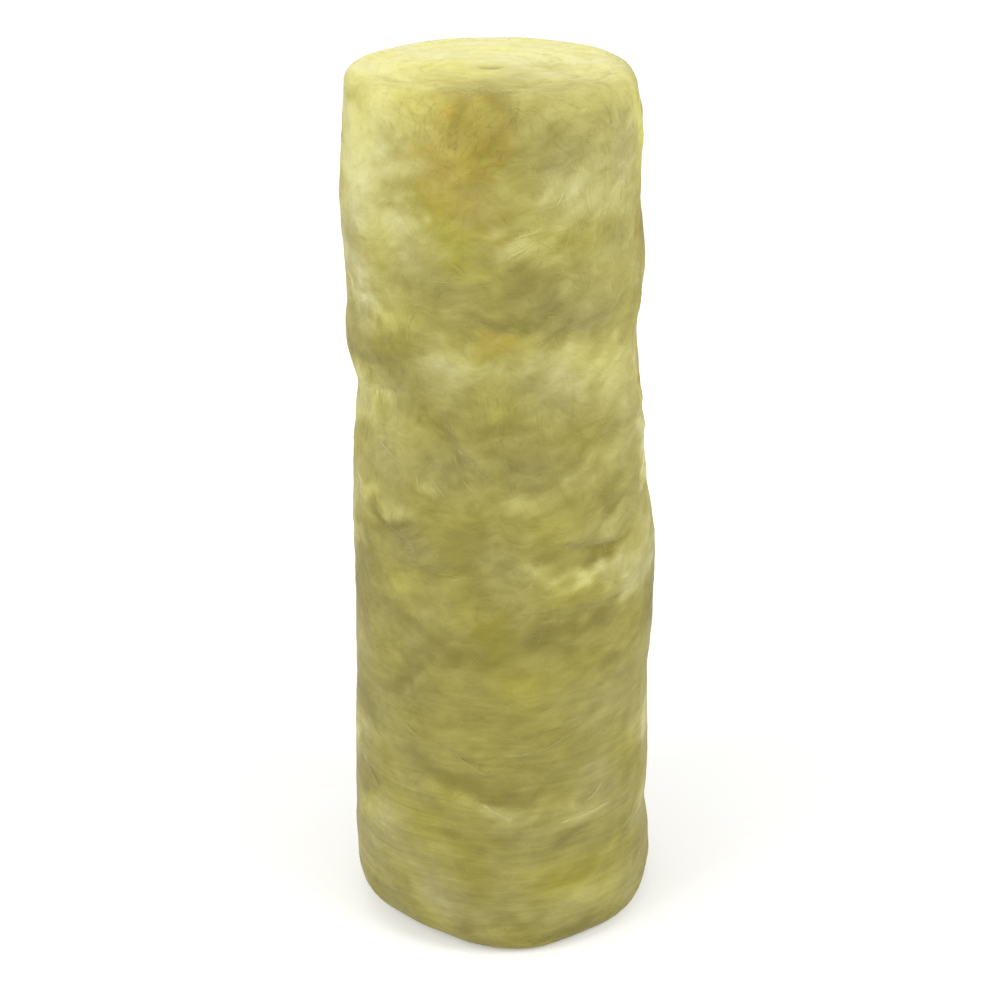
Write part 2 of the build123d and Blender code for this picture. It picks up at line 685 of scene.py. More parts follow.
    def land_radius(self, theta: Array, height: float) -> Array:
        """Gives the radius at which an end's flat land meets its rim.

        Args:
            theta: Polar angles in radians.
            height: The end's height.

        Returns:
            Radii.
        """
        rim = self.end_rim(theta, height)
        edge = rim if height < self.height / 2.0 else self.height - rim
        return self.side_radius(theta, edge) - rim

    def base_end_at(self, theta: Array, share: Array) -> tuple[Array, Array]:
        """Gives radius and height on the base, from the bore's mouth out.

        Args:
            theta: Polar angles in radians.
            share: How far through the zone.

        Returns:
            Radii and heights.
        """
        inner = self.bore_radius + self.mouth_radius
        radius = inner + (self.land_radius(theta, 0.0) - inner) * share
        return radius, self.end_relief(theta, radius, 0.0) * smooth_step(share / self.land_fade)

    def base_rim_at(self, theta: Array, share: Array) -> tuple[Array, Array]:
        """Gives radius and height round the base's rim, from the land up.

        Args:
            theta: Polar angles in radians.
            share: How far through the zone.

        Returns:
            Radii and heights.
        """
        turn = (share - 1.0) * QUARTER_TURN
        rim = self.end_rim(theta, 0.0)
        return self.land_radius(theta, 0.0) + rim * np.cos(turn), rim * (1.0 + np.sin(turn))

    def side_at(self, theta: Array, share: Array) -> tuple[Array, Array]:
        """Gives radius and height up the side.

        Args:
            theta: Polar angles in radians.
            share: How far through the zone.

        Returns:
            Radii and heights.
        """
        rim = self.end_rim(theta, 0.0)
        height = rim + share * (self.height - rim - self.end_rim(theta, self.height))
        radius = self.side_radius(theta, height)
        tilted = smooth_step((height / self.height - self.tilt_from) / (1.0 - self.tilt_from))
        return radius, height - tilted * (self.height - self.top_level(theta, radius))

    def top_rim_at(self, theta: Array, share: Array) -> tuple[Array, Array]:
        """Gives radius and height round the top's rim, from the side in.

        Args:
            theta: Polar angles in radians.
            share: How far through the zone.

        Returns:
            Radii and heights.
        """
        turn = share * QUARTER_TURN
        rim = self.end_rim(theta, self.height)
        edge = self.land_radius(theta, self.height) + rim
        radius = edge - rim * (1.0 - np.cos(turn))
        return radius, self.top_level(theta, edge) - rim * (1.0 - np.sin(turn))

    def top_end_at(self, theta: Array, share: Array) -> tuple[Array, Array]:
        """Gives radius and height on the top, from the rim in.

        Args:
            theta: Polar angles in radians.
            share: How far through the zone.

        Returns:
            Radii and heights.
        """
        inner = self.bore_radius + self.mouth_radius
        land = self.land_radius(theta, self.height)
        radius = land + (inner - land) * share
        fade = smooth_step((1.0 - share) / self.land_fade)
        level = self.top_level(theta, radius + self.end_rim(theta, self.height) * (1.0 - share))
        return radius, level - self.end_relief(theta, radius, self.height) * fade

    def top_mouth_at(self, theta: Array, share: Array) -> tuple[Array, Array]:
        """Gives radius and height round the bore's upper mouth, from the end down.

        Args:
            theta: Polar angles in radians.
            share: How far through the zone.

        Returns:
            Radii and heights.
        """
        turn = (1.0 + share) * QUARTER_TURN
        radius = self.bore_radius + self.mouth_radius * (1.0 + np.cos(turn))
        return radius, self.top_level(theta, radius) - self.mouth_radius * (1.0 - np.sin(turn))

    def bore_at(self, theta: Array, share: Array) -> tuple[Array, Array]:
        """Gives radius and height down the bore.

        Args:
            theta: Polar angles in radians.
            share: How far through the zone.

        Returns:
            Radii and heights.
        """
        radius = np.full_like(theta, self.bore_radius)
        span = self.top_level(theta, radius) - 2.0 * self.mouth_radius
        return radius, self.mouth_radius + (1.0 - share) * span

    def base_mouth_at(self, theta: Array, share: Array) -> tuple[Array, Array]:
        """Gives radius and height round the bore's lower mouth, from the bore out.

        Args:
            theta: Polar angles in radians.
            share: How far through the zone.

        Returns:
            Radii and heights.
        """
        turn = (2.0 + share) * QUARTER_TURN
        radius = self.bore_radius + self.mouth_radius * (1.0 + np.cos(turn))
        return radius, self.mouth_radius * (1.0 + np.sin(turn))

    def run_at_height(self, height: Array) -> Array:
        """Gives how far along the section a height on the side is."""
        return self.zone_starts[Zone.SIDE] + height - self.base_rim

    def height_past_rims(self, run: Array) -> Array:
        """Gives a height that goes on over the rims: above the roll's on its top, below 0 on its base.

        Args:
            run: How far along the section.

        Returns:
            Heights.
        """
        mouth = self.zone_starts[Zone.TOP_MOUTH]
        unwound = np.where(run > mouth, 2.0 * mouth - run, run)
        return np.clip(unwound, 0.0, None) - self.zone_starts[Zone.SIDE] + self.base_rim


@dataclass
class WoolTints:
    """How pale, ochre, mossy or dusty the wool is, over the whole roll, with painted light and shade
    among its tints.
    """

    form: RollForm
    patches: tuple[Patch, ...] = (
        # Under the top's rim
        # Painted rim light: the tall pale patches at azimuth -78 to -66 and 70 to 78, along the side's
        # edges
        *tinted(
            Tint.PALE,
            (-60, 1150, 50, 25, 0.75), (-66, 1110, 40, 60, 0.80), (-78, 1120, 22, 40, 0.35),
            (-50, 1105, 30, 20, 0.40), (-46, 1140, 36, 22, 0.35), (-17, 1172, 24, 18, 0.25),
            (-45, 1190, 60, 28, 0.50), (30, 1128, 60, 24, 0.30), (70, 1150, 30, 50, 0.90),
            (78, 1125, 24, 55, 0.50), (45, 1090, 60, 25, 0.40), (180, 1215, 330, 40, 0.90),
            (-110, 1210, 120, 30, 0.60),
        ),
        *tinted(
            Tint.OLIVE,
            (0, 1185, 70, 30, 0.35), (8, 1196, 50, 16, 0.50), (18, 1145, 30, 12, 0.20),
            (-28, 1095, 30, 15, 0.50), (30, 1155, 40, 18, 0.20),
        ),
        *tinted(
            Tint.BINDER,
            (-18, 1170, 50, 35, 0.55), (-2, 1180, 30, 25, 0.60), (-12, 1125, 55, 40, 0.60),
        ),
        *tinted(
            Tint.MOSS,
            (-45, 1190, 50, 35, 0.40), (-22, 1105, 40, 20, 0.50), (76, 1130, 34, 90, 1.00),
        ),
        *tinted(Tint.DUST_AND_SHADE, (32, 1160, 50, 30, 0.50)),
        # The upper half
        # Painted rim light: the pale patch at azimuth -78, on the left edge
        *tinted(
            Tint.PALE,
            (-38, 1060, 45, 26, 0.50), (24, 1113, 12, 14, 0.30), (12, 1056, 36, 24, 0.65),
            (-28, 1078, 26, 16, 0.35), (-55, 1035, 80, 25, 0.40), (-60, 975, 50, 20, 0.45),
            (-78, 978, 22, 40, 0.40), (-60, 930, 70, 12, 0.75),
        ),
        *tinted(
            Tint.OLIVE,
            (-2, 1060, 60, 150, 0.36), (14, 1016, 40, 18, 0.68), (34, 1048, 42, 26, 0.45),
            (-26, 985, 70, 15, 0.30), (16, 985, 55, 40, 0.36), (14, 962, 48, 26, 0.42),
            (23, 940, 18, 20, 0.20), (-4, 961, 26, 14, 0.22),
        ),
        *tinted(Tint.BINDER, (-2, 1080, 15, 20, 0.60)),
        *tinted(
            Tint.MOSS,
            (-8, 1070, 30, 15, 0.65), (-10, 1030, 35, 20, 0.75), (38, 1050, 40, 20, 0.50),
        ),
        # Painted shade: the tall patch at azimuth -68 greys the left edge
        *tinted(
            Tint.DUST_AND_SHADE,
            (-68, 968, 50, 70, 1.00), (15, 975, 40, 20, 0.50),
        ),
        # The pinch and the shelf under it: painted shade along and over the pinch and painted light where
        # the shelf faces up, among the wool's own patches
        # Painted rim light: the tall pale patches at azimuth -76 and 76, along the side's edges
        *tinted(
            Tint.PALE,
            (14, 918, 30, 14, 0.15), (-18, 893, 50, 22, 0.48), (28, 898, 46, 18, 0.50),
            (6, 934, 40, 12, 0.26), (8, 892, 30, 14, 0.12), (44, 862, 90, 28, 0.65),
            (-46, 806, 34, 18, 0.30), (-62, 798, 60, 24, 0.65), (-76, 762, 34, 40, 0.70),
            (76, 760, 28, 100, 0.85), (56, 815, 45, 26, 0.35), (50, 745, 50, 30, 0.25),
        ),
        *tinted(
            Tint.OLIVE,
            (40, 938, 50, 16, 0.50), (-56, 872, 60, 30, 0.62), (-40, 893, 40, 18, 0.35),
            (-76, 845, 24, 26, 0.85), (-15, 946, 30, 18, 0.40), (-28, 906, 28, 16, 0.35),
            (42, 902, 32, 12, 0.35), (12, 878, 26, 12, 0.22), (66, 862, 30, 16, 0.30),
            (-38, 828, 26, 15, 0.12), (-36, 800, 30, 16, 0.50), (-70, 850, 25, 18, 0.30),
            (4, 812, 65, 30, 0.50), (38, 780, 55, 16, 0.45), (-16, 796, 28, 16, 0.35),
        ),
        *tinted(Tint.BINDER, (2, 932, 38, 15, 0.62)),
        *tinted(Tint.MOSS, (0, 922, 60, 26, 0.60)),
        *tinted(
            Tint.DUST_AND_SHADE,
            (40, 938, 55, 22, 0.40), (9, 815, 45, 30, 0.45),
        ),
        # The middle
        # Painted rim light: the tall pale patches at azimuth 74 and -78, along the side's edges
        *tinted(
            Tint.PALE,
            (30, 732, 24, 13, 0.50), (74, 690, 28, 44, 0.85), (44, 650, 30, 14, 0.30),
            (12, 706, 30, 12, 0.25), (-27, 710, 15, 12, 0.40), (18, 680, 22, 10, 0.25),
            (-59, 662, 65, 14, 0.65), (15, 605, 18, 12, 0.50), (34, 588, 52, 18, 1.00),
            (58, 565, 45, 40, 0.55), (26, 598, 30, 14, 0.35), (62, 530, 45, 24, 0.52),
            (74, 560, 26, 120, 0.35), (-78, 588, 24, 40, 0.75),
        ),
        *tinted(
            Tint.OLIVE,
            (-20, 747, 20, 20, 0.60), (12, 752, 45, 32, 0.65), (41, 680, 24, 14, 0.50),
            (-43, 630, 38, 14, 0.90), (-4, 660, 60, 26, 0.50), (12, 684, 44, 14, 0.28),
            (-50, 646, 20, 12, 0.30), (-12, 622, 28, 30, 0.40), (42, 612, 40, 12, 0.80),
            (-64, 548, 40, 50, 0.45), (-7, 582, 28, 28, 0.42),
        ),
        *tinted(Tint.MOSS, (46, 615, 30, 20, 0.60)),
        *tinted(
            Tint.DUST_AND_SHADE,
            (-8, 748, 25, 30, 0.40), (-36, 607, 35, 17, 0.55), (66, 540, 50, 28, 0.35),
        ),
        # The belly
        *tinted(Tint.PALE, (-38, 547, 22, 18, 0.35)),
        *tinted(
            Tint.OLIVE,
            (36, 515, 60, 13, 0.70), (14, 519, 22, 14, 0.50), (-40, 500, 30, 12, 0.50),
            (-4, 520, 34, 40, 0.45), (76, 468, 28, 28, 1.00), (64, 476, 28, 20, 0.32),
            (-17, 477, 40, 20, 0.90), (-52, 488, 30, 20, 0.22), (-74, 480, 34, 40, 0.85),
            (-42, 392, 18, 25, 0.65), (-36, 428, 18, 12, 0.45), (45, 449, 25, 10, 0.50),
            (46, 350, 26, 14, 0.26), (-6, 324, 26, 14, 0.25),
        ),
        *tinted(
            Tint.MOSS,
            (-4, 526, 25, 25, 0.70), (4, 415, 110, 85, 0.50),
        ),
        # Painted shade: the tall patches at azimuth -78 and 80 grey the side's edges
        *tinted(
            Tint.DUST_AND_SHADE,
            (-38, 465, 35, 20, 0.50), (5, 338, 30, 9, 0.40), (-78, 330, 40, 300, 0.95),
            (80, 330, 36, 300, 0.95),
        ),
        # The combed band low down
        # Painted rim light: the tall pale patches at azimuth 76 and -77, along the side's edges
        *tinted(
            Tint.PALE,
            (38, 282, 50, 20, 0.20), (76, 280, 28, 32, 0.95), (28, 243, 24, 12, 0.35),
            (70, 166, 30, 24, 0.55), (-77, 252, 28, 34, 1.00), (64, 292, 28, 20, 0.30),
            (-4, 244, 30, 12, 0.60), (8, 253, 28, 13, 0.40), (30, 217, 42, 12, 0.60),
            (-60, 165, 52, 30, 0.45), (0, 160, 70, 22, 0.20),
        ),
        *tinted(
            Tint.OLIVE,
            (-34, 287, 36, 14, 0.45), (-20, 278, 38, 17, 0.65), (-3, 268, 32, 11, 0.70),
            (10, 266, 24, 18, 0.50), (-70, 318, 28, 16, 0.40), (-4, 286, 30, 14, 0.35),
            (-76, 185, 24, 30, 0.55), (24, 196, 32, 12, 0.65), (-62, 205, 30, 25, 0.45),
            (-19, 193, 18, 12, 0.40), (-7, 176, 16, 12, 0.35),
        ),
        *tinted(
            Tint.MOSS,
            (-29, 180, 65, 40, 0.50), (28, 131, 45, 20, 0.55),
        ),
        # Painted shade: the tall patch at azimuth -76 greys the left edge
        *tinted(
            Tint.DUST_AND_SHADE,
            (38, 262, 55, 37, 0.65), (-76, 215, 32, 70, 1.00), (3, 156, 35, 32, 0.45),
        ),
        # The foot
        *tinted(
            Tint.PALE,
            (-46, 90, 40, 30, 0.35), (32, 90, 52, 20, 0.65), (-24, 48, 34, 18, 0.45),
            (44, 60, 32, 16, 0.30), (-29, 68, 22, 12, 0.35),
        ),
        *tinted(
            Tint.OLIVE,
            (20, 35, 30, 12, 0.80), (-15, 38, 24, 10, 0.45), (30, 32, 20, 12, 0.40),
            (5, 72, 26, 12, 0.40),
        ),
        *tinted(
            Tint.DUST_AND_SHADE,
            (-51, 90, 87, 54, 0.80), (-21, 77, 58, 32, 0.50), (56, 69, 76, 32, 0.60),
        ),
    )
    end_patches: tuple[EndPatch, ...] = (
        EndPatch(Tint.PALE, -185.0, 0.0, 70.0, 0.50),
        EndPatch(Tint.PALE, 185.0, 10.0, 60.0, 0.40),
        EndPatch(Tint.MOSS, -100.0, -40.0, 85.0, 0.40),
        EndPatch(Tint.BINDER, -40.0, -150.0, 50.0, 0.75),
        EndPatch(Tint.OLIVE, -10.0, -145.0, 100.0, 0.95),
        EndPatch(Tint.PALE, -130.0, 110.0, 80.0, 0.40),
        EndPatch(Tint.DUST_AND_SHADE, 60.0, -30.0, 95.0, 0.40),
        EndPatch(Tint.MOSS, -20.0, -130.0, 120.0, 0.40),
    )
    mottle: SoftNoise = field(default_factory=lambda: SoftNoise(31, 120.0))
    cloud: SoftNoise = field(default_factory=lambda: SoftNoise(32, 52.0, flatten=1.5))
    fleck: SoftNoise = field(default_factory=lambda: SoftNoise(33, 24.0, flatten=1.6))
    hue: SoftNoise = field(default_factory=lambda: SoftNoise(34, 95.0))
    # The part that faces away from the front
    unseen: int = 110
    unseen_seed: int = 35
    unseen_shares: tuple[float, ...] = (0.28, 0.36, 0.06, 0.14, 0.16)
    unseen_turn: float = 92.0
    unseen_lowest: float = 20.0
    unseen_wide: Limits = (26.0, 80.0)
    unseen_tall: Limits = (14.0, 40.0)
    unseen_strength: Limits = (0.25, 0.65)
    # The plain tone, which the patches and the noise change, with painted light from above that pales the
    # upper half, and painted light and shade that pale the top towards its back and darken it towards its
    # front
    side_tone: float = 0.39
    # Painted light from above: paler up the upper half
    upper_painted_light: float = 0.16
    upper_from: float = 450.0
    upper_over: float = 700.0
    # Painted light and shade on the top: paler towards its back, darker towards its front
    top_front_shaded_tone: float = 0.64
    top_back_lit_tone: float = 1.05
    top_edge: float = 20.0
    top_blend: float = 110.0
    top_calm: float = 0.55
    pale_gain: float = 0.46
    olive_loss: float = 0.36
    mottle_share: float = 0.03
    cloud_share: float = 0.03
    fleck_share: float = 0.02
    hue_share: float = 0.22
    hue_limit: float = 2.0
    # How far the patches' edges wander
    wander_cloud: float = 9.0
    wander_fleck: float = 4.0
    wander_apart: float = 300.0
    wander_up: float = 0.7
    wander_up_loss: float = 0.4
    # Painted shade, as a darker ochre, on the turn that the outer end leaves bare under its lip
    bared_shade_strength: float = 0.6
    bared_half: float = 590.0
    bared_fade: float = 30.0

    def __post_init__(self) -> None:
        """Scatters patches over the part that faces away from the front."""
        rng = np.random.default_rng(self.unseen_seed)
        tints = list(Tint)
        chosen = rng.choice(len(tints), self.unseen, p=self.unseen_shares)
        scattered = tuple(
            Patch(
                tints[tint],
                180.0 + rng.uniform(-self.unseen_turn, self.unseen_turn),
                rng.uniform(self.unseen_lowest, self.form.height),
                rng.uniform(*self.unseen_wide),
                rng.uniform(*self.unseen_tall),
                rng.uniform(*self.unseen_strength),
            )
            for tint in chosen
        )
        self.patches = self.patches + scattered

    def of(self, theta: Array, run: Array, points: Array) -> dict[str, Array]:
        """Gives the tints at points on the roll.

        Args:
            theta: Polar angles in radians.
            run: How far along the section the points are.
            points: The points, in rows.

        Returns:
            Shares by name: tone, from deep olive to pale lemon, with painted light and shade in it,
            binder, with painted shade on the bared turn, moss, dust, with painted shade
            along the side's edges, how far the wool is combed round the roll, and how calm its grain is.
        """
        height = self.form.height_past_rims(run)
        on_top = smooth_step((height - self.form.height + self.top_edge) / self.top_blend)
        total = self.patch_totals(theta, height, points, on_top)
        hue = self.hue.at(points)
        # Painted shade under the outer end's lip, added to the ochre tint as a darker ochre
        bared_shade = self.bared_shade_share(theta, height) * (1.0 - np.clip(total[Tint.MOSS], 0.0, 1.0))
        yellower = self.hue_share * np.clip(hue, 0.0, self.hue_limit)
        greyer = self.hue_share * np.clip(hue, -self.hue_limit, 0.0)
        return {
            "tone": np.clip(self.tone(height, points, on_top, total), 0.0, 1.0),
            "binder": np.clip(total[Tint.BINDER] + bared_shade, 0.0, 1.0),
            "moss": np.clip(total[Tint.MOSS] + yellower, 0.0, 1.0),
            "dust": np.clip(total[Tint.DUST_AND_SHADE] - greyer, 0.0, 1.0),
            "combed": self.form.combed(height),
            "calm": self.top_calm * on_top,
        }

    def patch_totals(
        self, theta: Array, height: Array, points: Array, on_top: Array
    ) -> dict[Tint, Array]:
        """Sums the patches, whose edges wander a little.

        Args:
            theta: Polar angles in radians.
            height: Heights, which go on over the rims.
            points: The points, in rows.
            on_top: How far each point belongs to the top.

        Returns:
            The strength of each tint at each point.
        """
        aside, up = (
            self.wander_cloud * self.cloud.at(moved) + self.wander_fleck * self.fleck.at(moved)
            for moved in (points + self.wander_apart, points - self.wander_apart)
        )
        theta_off = theta + aside / self.form.middle_radius
        height_off = height + (self.wander_up - self.wander_up_loss * self.form.combed(height)) * up
        total = {tint: np.zeros(len(points)) for tint in Tint}
        for patch in self.patches:
            total[patch.tint] += patch.weight(theta_off, height_off, self.form.middle_radius)
        for end_patch in self.end_patches:
            total[end_patch.tint] += end_patch.weight(points) * on_top
        return total

    def tone(self, height: Array, points: Array, on_top: Array, total: dict[Tint, Array]) -> Array:
        """Gives how pale the wool is.

        Args:
            height: Heights, which go on over the rims.
            points: The points, in rows.
            on_top: How far each point belongs to the top.
            total: The strength of each tint at each point.

        Returns:
            Tones, from 0 for deep olive to 1 for pale lemon, not yet held to that range.
        """
        # Painted light from above: paler up the upper half
        upper = smooth_step((height - self.upper_from) / self.upper_over)
        tone = self.side_tone + self.upper_painted_light * upper
        # Painted light and shade on the top: paler towards its back, darker towards its front
        back_share = np.clip(0.5 + 0.5 * points[:, 1] / self.form.middle_radius, 0.0, 1.0)
        top_painted_tone = self.top_front_shaded_tone + (self.top_back_lit_tone - self.top_front_shaded_tone) * back_share
        tone = tone + (top_painted_tone - tone) * on_top
        tone = tone + self.pale_gain * total[Tint.PALE] - self.olive_loss * total[Tint.OLIVE]
        tone = tone + self.mottle_share * self.mottle.at(points)
        return tone + self.cloud_share * self.cloud.at(points) + self.fleck_share * self.fleck.at(points)

    def bared_shade_share(self, theta: Array, height: Array) -> Array:
        """Gives how much painted shade, as a darker ochre, lies where the outer end leaves the turn below
        it bare.

        Args:
            theta: Polar angles in radians.
            height: Heights, which go on over the rims.

        Returns:
            Shares, which fade out at the roll's ends.
        """
        drop = self.form.tail_drop(theta, np.clip(height, 0.0, self.form.height)) / self.form.tail_step
        fade = smooth_step((np.abs(height - self.bared_half) - self.bared_half) / self.bared_fade)
        return self.bared_shade_strength * np.clip(drop * (1.0 - fade), 0.0, 1.0)


@dataclass
class NodeTree:
    """A material's or world's nodes, with short ways to add and join them."""

    tree: bpy.types.NodeTree

    def add(self, kind: str, **settings: object) -> bpy.types.Node:
        """Adds a node.

        Args:
            kind: The node's type name.
            settings: Its properties.

        Returns:
            The node.
        """
        node = self.tree.nodes.new(kind)
        for name, value in settings.items():
            setattr(node, name, value)
        return node

    def join(self, source: Socket, target: Socket) -> None:
        """Links two sockets."""
        self.tree.links.new(source, target)

    def math(self, operation: str, first: Socket | float, second: Socket | float) -> Socket:
        """Adds a math node.

        Args:
            operation: The operation's name.
            first: A socket or a number.
            second: A socket or a number.

        Returns:
            The result's socket.
        """
        node = self.add("ShaderNodeMath", operation=operation)
        for socket, value in zip(node.inputs, (first, second)):
            if isinstance(value, Socket):
                self.join(value, socket)
            else:
                socket.default_value = value
        return node.outputs[0]

    def mix(self, *parts: tuple[Socket, float]) -> Socket:
        """Adds up sockets.

        Args:
            parts: Each socket and its share.

        Returns:
            The sum's socket.
        """
        total, *others = [self.math("MULTIPLY", socket, share) for socket, share in parts]
        for other in others:
            total = self.math("ADD", total, other)
        return total

    def tint(self, share: Socket, colour: Socket, factor: Colour) -> Socket:
        """Tints a colour.

        Args:
            share: How strongly.
            colour: The colour.
            factor: What a full tint multiplies it by.

        Returns:
            The result's socket.
        """
        node = self.add("ShaderNodeMix", data_type="RGBA", blend_type="MULTIPLY")
        factor_input, first_colour, second_colour = node.inputs[0], node.inputs[6], node.inputs[7]
        self.join(share, factor_input)
        self.join(colour, first_colour)
        second_colour.default_value = (*factor, 1.0)
        return node.outputs[2]

    def read(self, attribute: str) -> Socket:
        """Reads a share that is stored on the piece."""
        return self.add("ShaderNodeAttribute", attribute_name=attribute).outputs["Fac"]


@dataclass(frozen=True)
class Grain:
    """A drawn out noise: its lean from the level in degrees, and its waves in a metre along each axis."""

    lean: float
    scale: Triple
    detail: float = 4.0
    roughness: float = 0.5
    distortion: float = 0.6

    def noise(self, nodes: NodeTree, place: Socket) -> Socket:
        """Adds the noise.

        Args:
            nodes: The material's nodes.
            place: The coordinates.

        Returns:
            The noise's socket, from 0 to 1.
        """
        mapping = nodes.add("ShaderNodeMapping")
        mapping.inputs["Rotation"].default_value = (0.0, math.radians(self.lean), 0.0)
        mapping.inputs["Scale"].default_value = self.scale
        nodes.join(place, mapping.inputs["Vector"])
        noise = nodes.add("ShaderNodeTexNoise")
        noise.inputs["Scale"].default_value = 1.0
        noise.inputs["Detail"].default_value = self.detail
        noise.inputs["Roughness"].default_value = self.roughness
        noise.inputs["Distortion"].default_value = self.distortion
        nodes.join(mapping.outputs["Vector"], noise.inputs["Vector"])
        return noise.outputs["Fac"]


@dataclass(frozen=True)
class WoolFinish:
    """Glass wool: mottled straw and olive, with ochre stains from the resin that binds it and the nap of
    fine fibres; two of its tints also lay painted shade.
    """

    name: str
    tones: tuple[tuple[float, Colour], ...] = (
        (0.0, (0.225, 0.190, 0.038)),
        (0.30, (0.335, 0.292, 0.070)),
        (0.50, (0.440, 0.394, 0.108)),
        (0.72, (0.580, 0.535, 0.176)),
        (1.0, (0.805, 0.768, 0.350)),
    )
    binder: Colour = (1.0, 0.86, 0.52)
    moss: Colour = (1.0, 0.99, 0.56)
    dust: Colour = (0.99, 0.99, 1.34)
    fluff: Grain = Grain(8.0, (34.0, 34.0, 46.0))
    brushed: Grain = Grain(14.0, (24.0, 24.0, 105.0))
    nap: Grain = Grain(-16.0, (110.0, 110.0, 520.0))
    swept: Grain = Grain(3.0, (9.0, 9.0, 120.0))
    tangled_shares: Triple = (0.45, 0.35, 0.20)
    combed_shares: Triple = (0.55, 0.20, 0.25)
    fine_share: float = 0.32
    drift: float = 0.13
    drift_scale: float = 11.0
    drift_detail: float = 2.0
    bump: float = 0.16
    bump_depth: float = 0.002
    roughness: float = 0.85
    gloss: float = 0.18
    sheen: float = 0.20
    sheen_roughness: float = 0.55
    sheen_tint: Colour = (1.0, 0.97, 0.72)

    def material(self) -> bpy.types.Material:
        """Makes the material.

        Returns:
            A material that reads the piece's tone, binder, moss, dust, combed and calm attributes, which
            hold painted light and shade as well as the wool's colour.
        """
        made = bpy.data.materials.new(self.name)
        made.use_nodes = True
        nodes = NodeTree(made.node_tree)
        shader = made.node_tree.nodes["Principled BSDF"]
        fine = self.fine_grain(nodes)
        nodes.join(self.colour(nodes, fine), shader.inputs["Base Color"])
        bump = nodes.add("ShaderNodeBump")
        bump.inputs["Strength"].default_value = self.bump
        bump.inputs["Distance"].default_value = self.bump_depth
        nodes.join(fine, bump.inputs["Height"])
        nodes.join(bump.outputs["Normal"], shader.inputs["Normal"])
        shader.inputs["Roughness"].default_value = self.roughness
        shader.inputs["Specular IOR Level"].default_value = self.gloss
        shader.inputs["Sheen Weight"].default_value = self.sheen
        shader.inputs["Sheen Roughness"].default_value = self.sheen_roughness
        shader.inputs["Sheen Tint"].default_value = (*self.sheen_tint, 1.0)
        return made

    def fine_grain(self, nodes: NodeTree) -> Socket:
        """Adds the wool's grain: tangled on the upper half and combed round the roll below.

        Args:
            nodes: The material's nodes.

        Returns:
            The grain's socket, from 0 to 1.
        """
        place = nodes.add("ShaderNodeTexCoord").outputs["Object"]
        flow = self.drifted(nodes, place)
        fluff = self.fluff.noise(nodes, flow)
        brushed = self.brushed.noise(nodes, flow)
        nap = self.nap.noise(nodes, flow)
        swept = self.swept.noise(nodes, place)
        tangled = nodes.mix(*zip((fluff, brushed, nap), self.tangled_shares))
        combed = nodes.mix(*zip((swept, brushed, nap), self.combed_shares))
        swapped = nodes.math("MULTIPLY", nodes.read("combed"), nodes.math("SUBTRACT", combed, tangled))
        return nodes.math("ADD", tangled, swapped)

    def colour(self, nodes: NodeTree, fine: Socket) -> Socket:
        """Adds the wool's colour.

        Args:
            nodes: The material's nodes.
            fine: The grain's socket, which shifts the tone.

        Returns:
            The colour's socket.
        """
        lively = nodes.math("SUBTRACT", 1.0, nodes.read("calm"))
        grain_share = nodes.math("MULTIPLY", lively, 2.0 * self.fine_share)
        shift = nodes.math("MULTIPLY", nodes.math("SUBTRACT", fine, 0.5), grain_share)
        ramp = nodes.add("ShaderNodeValToRGB")
        ramp.color_ramp.interpolation = "B_SPLINE"
        self.set_stops(ramp.color_ramp)
        nodes.join(nodes.math("ADD", nodes.read("tone"), shift), ramp.inputs["Fac"])
        colour = ramp.outputs["Color"]
        # The ochre and grey tints also lay painted shade, on the bared turn and along the side's edges
        for name, factor in (("dust", self.dust), ("moss", self.moss), ("binder", self.binder)):
            colour = nodes.tint(nodes.read(name), colour, factor)
        return colour

    def drifted(self, nodes: NodeTree, place: Socket) -> Socket:
        """Bends the coordinates, so that what is drawn along them flows in soft curves.

        Args:
            nodes: The material's nodes.
            place: The coordinates.

        Returns:
            The bent coordinates' socket.
        """
        noise = nodes.add("ShaderNodeTexNoise")
        noise.inputs["Scale"].default_value = self.drift_scale
        noise.inputs["Detail"].default_value = self.drift_detail
        nodes.join(place, noise.inputs["Vector"])
        centred = nodes.add("ShaderNodeVectorMath", operation="SUBTRACT")
        nodes.join(noise.outputs["Color"], centred.inputs[0])
        centred.inputs[1].default_value = (0.5, 0.5, 0.5)
        scaled = nodes.add("ShaderNodeVectorMath", operation="SCALE")
        nodes.join(centred.outputs["Vector"], scaled.inputs[0])
        scaled.inputs["Scale"].default_value = self.drift
        moved = nodes.add("ShaderNodeVectorMath", operation="ADD")
        nodes.join(place, moved.inputs[0])
        nodes.join(scaled.outputs["Vector"], moved.inputs[1])
        return moved.outputs["Vector"]

    def set_stops(self, ramp: bpy.types.ColorRamp) -> None:
        """Sets a ramp's stops to the tones.

        Args:
            ramp: The colour ramp.
        """
        while len(ramp.elements) < len(self.tones):
            ramp.elements.new(1.0)
        for stop, (position, colour) in zip(ramp.elements, self.tones):
            stop.position = position
            stop.color = (*colour, 1.0)


def set_shares(mesh: bpy.types.Mesh, shares: dict[str, Array]) -> None:
    """Stores shares on a mesh's points.

    Args:
        mesh: The mesh.
        shares: One value for each point, by attribute name.
    """
    for name, values in shares.items():
        layer = mesh.attributes.new(name, "FLOAT", "POINT")
        layer.data.foreach_set("value", values.astype(np.float32))


def settle(piece: bpy.types.Object) -> None:
    """Makes a piece ride on the part's body.

    Args:
        piece: The finished piece.
    """
    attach(piece, BODY)
    LOG.info("%s: %d faces", piece.name, len(piece.data.polygons))


